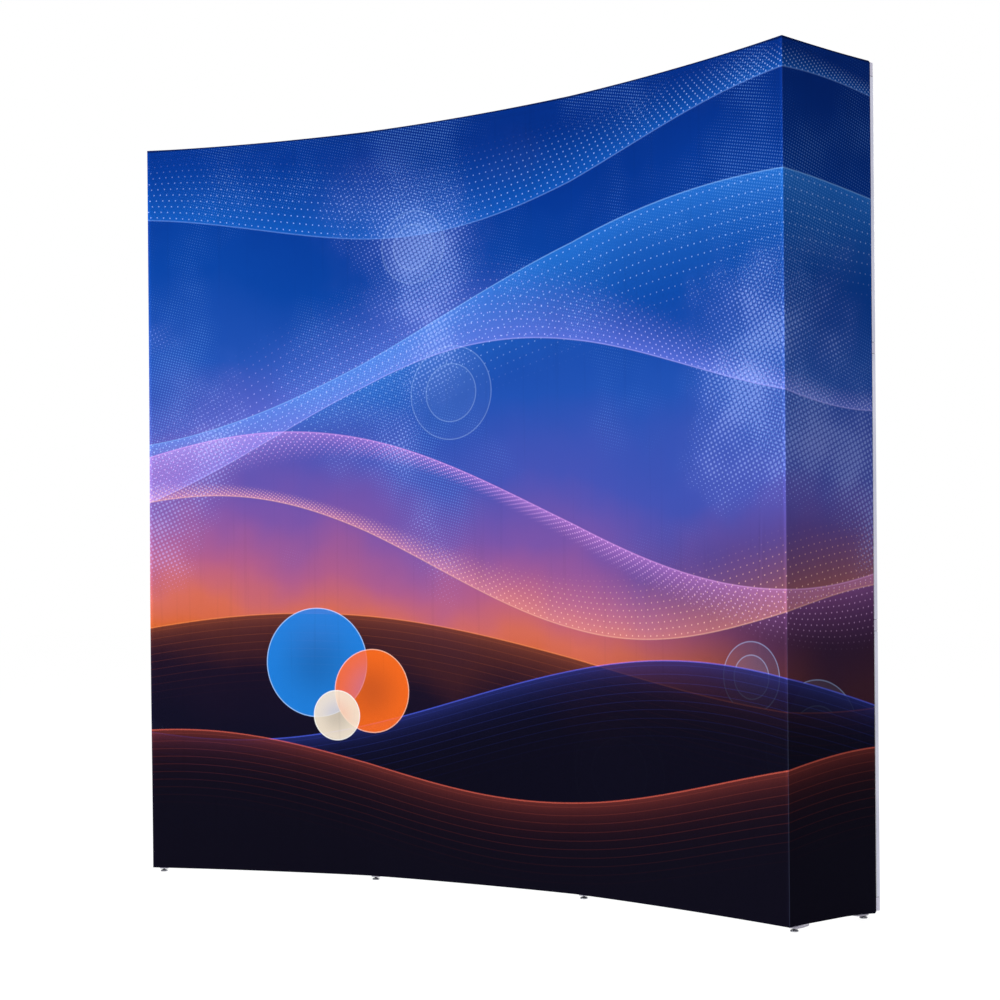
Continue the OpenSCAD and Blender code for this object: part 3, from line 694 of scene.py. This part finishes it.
def pearled(name, dark, pale, rough_low, rough_high, seams):
    """Plastic with a metallic pearl, to match the rails, and darkened with painted shade where it
    shows in a seam.
    """
    s = Shade(name)
    where = s.object_place()
    _, _, z = s.split(where)
    drift = s.noise(where, 24.0, 3.0)
    flake = s.noise(where, 2600.0, 1.0)
    ink = s.mix(drift, dark, pale)
    for low, high in seams:
        # Painted shade in each seam gap between a bar and its holder
        inside = s.mul(s.ease(z, low - 0.0002, low), s.ease(z, high + 0.0002, high))
        ink = s.mix(s.mul(inside, 0.9), ink, linear(26, 25, 32))
    return s.set(Base_Color=ink, Metallic=0.6,
                 Roughness=s.ease(drift, 0.3, 0.7, rough_low, rough_high),
                 Normal=s.bump(flake, 0.00003, 0.3, s.rounded(PLASTIC_EDGE)))


def anodised(name, dark, pale, rough_low, rough_high, grain_scale):
    """Satin anodised aluminium with fine drawn grain and a few rubbed marks."""
    s = Shade(name)
    where = s.object_place()
    grain = s.noise(s.stretch(where, grain_scale), 60.0, 3.0, 0.6)
    rub = s.noise(where, 5.0, 2.0, 0.5)
    ink = s.mix(s.ease(rub, 0.3, 0.7), dark, pale)
    rough = s.ease(grain, 0.3, 0.7, rough_low, rough_high)
    rough = s.add(rough, s.ease(rub, 0.6, 0.8, 0.0, 0.05))
    normal = s.bump(grain, 0.00004, 0.3, s.rounded(0.0004))
    return s.set(Base_Color=ink, Roughness=rough, Normal=normal, Metallic=1.0)


def plated(name, dark, pale, rough_low, rough_high, thread_from=None):
    """Bright plated steel with light handling marks, threaded above a height if one is given, with
    painted shade in the thread's valleys.
    """
    s = Shade(name)
    where = s.object_place()
    marks = s.noise(where, 130.0, 4.0, 0.7)
    ink = s.mix(marks, dark, pale)
    normal = s.bump(marks, 0.00002, 0.4, s.rounded(0.0003))
    if thread_from is not None:
        _, _, z = s.split(where)
        turns = s.wave(z, 2 * math.pi / THREAD_PITCH, 0.0)
        turns = s.mul(turns, s.ease(z, thread_from, thread_from + 0.0005))
        normal = s.bump(turns, 0.0005, 0.9, normal)
        # Painted shade in the thread's valleys
        ink = s.mix(s.mul(s.ease(turns, 0.0, -1.0), 0.45), ink, linear(40, 40, 44))
    return s.set(Base_Color=ink, Roughness=s.ease(marks, 0.35, 0.7, rough_low, rough_high),
                 Normal=normal, Metallic=1.0)


def tape(name, dark, pale, pitch):
    """Hook or loop tape: a dense pile of tiny hooks on a woven band."""
    s = Shade(name)
    where = s.object_place()
    pile = s.noise(where, 1 / pitch, 2.0, 0.6)
    ink = s.mix(s.ease(pile, 0.35, 0.65), dark, pale)
    return s.set(Base_Color=ink, Roughness=s.ease(pile, 0.3, 0.7, 0.7, 0.95),
                 Normal=s.bump(pile, 0.0005, 0.7), Sheen_Weight=0.2)


FINISHES = {
    "hub_plastic": moulded(
        "hub_plastic", linear(195, 191, 207), linear(213, 209, 224), 0.40, 0.52),
    "dark_plastic": moulded(
        "dark_plastic", linear(30, 30, 33), linear(44, 44, 48), 0.42, 0.56),
    "pole_aluminium": anodised(
        "pole_aluminium", linear(188, 190, 194), linear(204, 206, 210), 0.28, 0.38,
        (1.0, 1.0, 1.0)),
    "steel_pins": plated(
        "steel_pins", linear(150, 150, 152), linear(190, 190, 192), 0.20, 0.34),
    "hook_tape": tape(
        "hook_tape", linear(196, 198, 206), linear(236, 237, 242), 0.0011),
    "foot_metal": plated(
        "foot_metal", linear(106, 107, 112), linear(148, 149, 155), 0.16, 0.26, THREAD_FROM),
    "rail_aluminium": anodised(
        "rail_aluminium", linear(186, 187, 203), linear(202, 202, 217), 0.30, 0.42,
        (1.0, 1.0, 0.02)),
    "holder_plastic": pearled(
        "holder_plastic", linear(196, 193, 212), linear(208, 206, 222), 0.34, 0.44, rail_seams()),
}

for part in frame["record"]["subparts"]:
    node = frame["nodes"][part["node"]]
    if part["material_slot"] in FINISHES:
        node.data.materials.clear()
        node.data.materials.append(FINISHES[part["material_slot"]])

# ------------------------------------------------------------------ the cover

# Rows of the cover's mesh as shares of its height, closer together at the hems
ROWS = [0, 0.0009, 0.002, 0.005, 0.011]
ROWS += [k / 44 for k in range(1, 44)]
ROWS += [0.989, 0.995, 0.998, 0.9991, 1]

KNIT = printed_knit()
BACK = knit_back()
THREAD = overlock_thread()

sheet_mesh = mapped_grid(PROFILE.along, ROWS, cover_place)
face_outwards(sheet_mesh, lambda f: f.normal.y < 0)
cover = finish_mesh(sheet_mesh, "stretch_cover", "cover", [KNIT, BACK, THREAD])
thick = cover.modifiers.new("thickness", "SOLIDIFY")
thick.thickness = FABRIC_T
thick.offset = -1
thick.use_rim = True
thick.material_offset = 1
thick.material_offset_rim = 2
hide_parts("cover_front_panel", "cover_left_end_panel", "cover_right_end_panel")

# ------------------------------------------------------------------ small fittings


def loop_tapes():
    """White loop tape sewn inside the cover's two rear edges, where the rails' hooks take hold."""
    s = Shade("loop_tape")
    where = s.object_place()
    loops = s.noise(where, 1500.0, 2.0, 0.6)
    ink = s.mix(s.ease(loops, 0.3, 0.7), linear(206, 207, 214), linear(240, 241, 245))
    s.set(Base_Color=ink, Roughness=s.ease(loops, 0.3, 0.7, 0.8, 0.95),
          Normal=s.bump(loops, 0.0004, 0.8), Sheen_Weight=0.15)

    def inside_cover(along, share):
        v = TAPE_END_SHARE + (1 - 2 * TAPE_END_SHARE) * share
        return cover_place(along, v, FABRIC_T + 0.0001)

    for side, name in ((-1, "left"), (1, "right")):
        columns = [side * (PROFILE.half - TAPE_IN - TAPE_WIDE), side * (PROFILE.half - TAPE_IN)]
        strip = mapped_grid(columns, [k / 40 for k in range(41)], inside_cover)
        end_out = Vector((side * math.cos(END_ANGLE), -math.sin(END_ANGLE), 0))
        face_outwards(strip, lambda f: f.normal.dot(end_out) < 0)
        sewn = finish_mesh(strip, name + "_loop_tape", "cover", [s.material], smooth=False)
        thick = sewn.modifiers.new("thickness", "SOLIDIFY")
        thick.thickness = TAPE_T
        thick.offset = 1


def saddle_screws():
    """Dark pan-head screws, one on each side of every foot, under the saddles."""
    out, height = 0.0102, 0.0087
    head = {"segments": 20, "radius1": 0.0025, "radius2": 0.0021, "depth": 0.0014}
    key = {"segments": 6, "radius1": 0.0011, "radius2": 0.0010, "depth": 0.0018}
    bm = bmesh.new()
    for name in [row + "_foot_%d" % k for row in ("front", "back") for k in range(1, 5)]:
        low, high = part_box(name)
        x, y = (low.x + high.x) / 2, (low.y + high.y) / 2
        angle = math.atan2(x, y + CENTRE_Y)
        for side in (-1, 1):
            away = Vector((math.cos(angle), -math.sin(angle), 0)) * side * out
            spot = Vector((x, y, height)) + away
            turn = Matrix.Translation(spot) @ Matrix.Rotation(math.pi, 4, "X")
            for form in (head, key):
                bmesh.ops.create_cone(bm, cap_ends=True, matrix=turn, **form)
    screws = finish_mesh(bm, "saddle_screws", "frame", [], smooth=False)
    s = Shade("blackened_steel")
    where = s.object_place()
    marks = s.noise(where, 700.0, 3.0, 0.6)
    screws.data.materials.append(s.set(
        Base_Color=s.mix(marks, linear(34, 34, 38), linear(60, 60, 66)), Metallic=1.0,
        Roughness=s.ease(marks, 0.3, 0.7, 0.35, 0.5), Normal=s.bump(marks, 0.00003, 0.4)))


loop_tapes()
saddle_screws()

# ------------------------------------------------------------------ room, light and camera

# The floor lies this far under the feet, so that the two never share a plane
FLOOR_GAP = 0.0004


def ray_sum(s):
    """1 for rays that show the background: from the camera, or by a reflection."""
    rays = s.node("LightPath").outputs
    seen = s.add(s.add(rays["Is Camera Ray"], rays["Is Glossy Ray"]), rays["Is Transmission Ray"])
    return s.math("MINIMUM", seen, 1.0)


def pale_floor():
    """A plain floor that shows as white, and lights the underside as a pale one would."""
    bm = bmesh.new()
    bmesh.ops.create_grid(bm, x_segments=8, y_segments=8, size=30)
    mesh = bpy.data.meshes.new("floor")
    bm.to_mesh(mesh)
    bm.free()
    floor = bpy.data.objects.new("floor", mesh)
    floor.location.z = -FLOOR_GAP
    bpy.context.scene.collection.objects.link(floor)
    s = Shade("floor")
    s.tree.nodes.remove(s.shader)
    seen = s.node("BsdfDiffuse")
    seen.inputs["Color"].default_value = (0.20, 0.20, 0.20, 1)
    glow = s.node("Emission")
    glow.inputs["Strength"].default_value = 0.93
    shown = s.node("AddShader")
    s.put(shown.inputs[0], seen.outputs[0])
    s.put(shown.inputs[1], glow.outputs[0])
    lit = s.node("BsdfDiffuse")
    lit.inputs["Color"].default_value = (0.88, 0.88, 0.88, 1)
    both = s.node("MixShader")
    s.put(both.inputs[0], ray_sum(s))
    s.put(both.inputs[1], lit.outputs[0])
    s.put(both.inputs[2], shown.outputs[0])
    s.put(s.tree.nodes["Material Output"].inputs["Surface"], both.outputs[0])
    floor.data.materials.append(s.material)


def white_world(level):
    """White where it is seen, and as bright as level where it lights."""
    world = bpy.data.worlds.new("room")
    world.use_nodes = True
    bpy.context.scene.world = world
    tree = world.node_tree
    tree.nodes.clear()
    rays = tree.nodes.new("ShaderNodeLightPath")
    both = tree.nodes.new("ShaderNodeMath")
    both.operation = "MAXIMUM"
    tree.links.new(rays.outputs["Is Camera Ray"], both.inputs[0])
    tree.links.new(rays.outputs["Is Glossy Ray"], both.inputs[1])
    strength = tree.nodes.new("ShaderNodeMapRange")
    strength.inputs["To Min"].default_value = level
    strength.inputs["To Max"].default_value = 1.0
    tree.links.new(both.outputs[0], strength.inputs["Value"])
    glow = tree.nodes.new("ShaderNodeBackground")
    glow.inputs["Color"].default_value = (1, 1, 1, 1)
    tree.links.new(strength.outputs[0], glow.inputs["Strength"])
    out = tree.nodes.new("ShaderNodeOutputWorld")
    tree.links.new(glow.outputs[0], out.inputs["Surface"])


def soft_light(name, place, aim, width, height, watts):
    data = bpy.data.lights.new(name, "AREA")
    data.shape = "RECTANGLE"
    data.size = width
    data.size_y = height
    data.energy = watts
    lamp = bpy.data.objects.new(name, data)
    lamp.location = place
    lamp.rotation_euler = (Vector(aim) - Vector(place)).to_track_quat("-Z", "Y").to_euler()
    bpy.context.scene.collection.objects.link(lamp)


SENSOR = 36
FOCAL_SHARE = 1.6963


def camera():
    """The camera fitted to the photograph's edges: level, turned left, with a small roll."""
    turn, roll = -0.52533, -0.00852
    place = (2.5614, -4.3025, 0.8539)
    ahead = Vector((math.sin(turn), math.cos(turn), 0))
    right = Vector((math.cos(turn), -math.sin(turn), 0))
    up = Vector((0, 0, 1))
    across = right * math.cos(roll) + up * math.sin(roll)
    upward = up * math.cos(roll) - right * math.sin(roll)
    data = bpy.data.cameras.new("camera")
    data.sensor_width = SENSOR
    data.lens = SENSOR * FOCAL_SHARE
    data.shift_y = 0.09725
    data.clip_end = 100
    seen_from = bpy.data.objects.new("camera", data)
    turned = Matrix((across, upward, -ahead)).transposed().to_4x4()
    seen_from.matrix_world = Matrix.Translation(place) @ turned
    bpy.context.scene.collection.objects.link(seen_from)
    bpy.context.scene.camera = seen_from


pale_floor()
white_world(0.34)
soft_light("key", (-2.6, -6.0, 3.4), (0.1, 0.0, 1.1), 3.4, 3.0, 350)
soft_light("fill", (3.6, -5.2, 2.4), (0.3, 0.0, 1.1), 2.4, 2.4, 54)
soft_light("back", (0.6, 4.2, 3.2), (0.0, 0.2, 1.1), 2.6, 2.0, 95)
camera()
bpy.context.scene.view_settings.view_transform = "Standard"
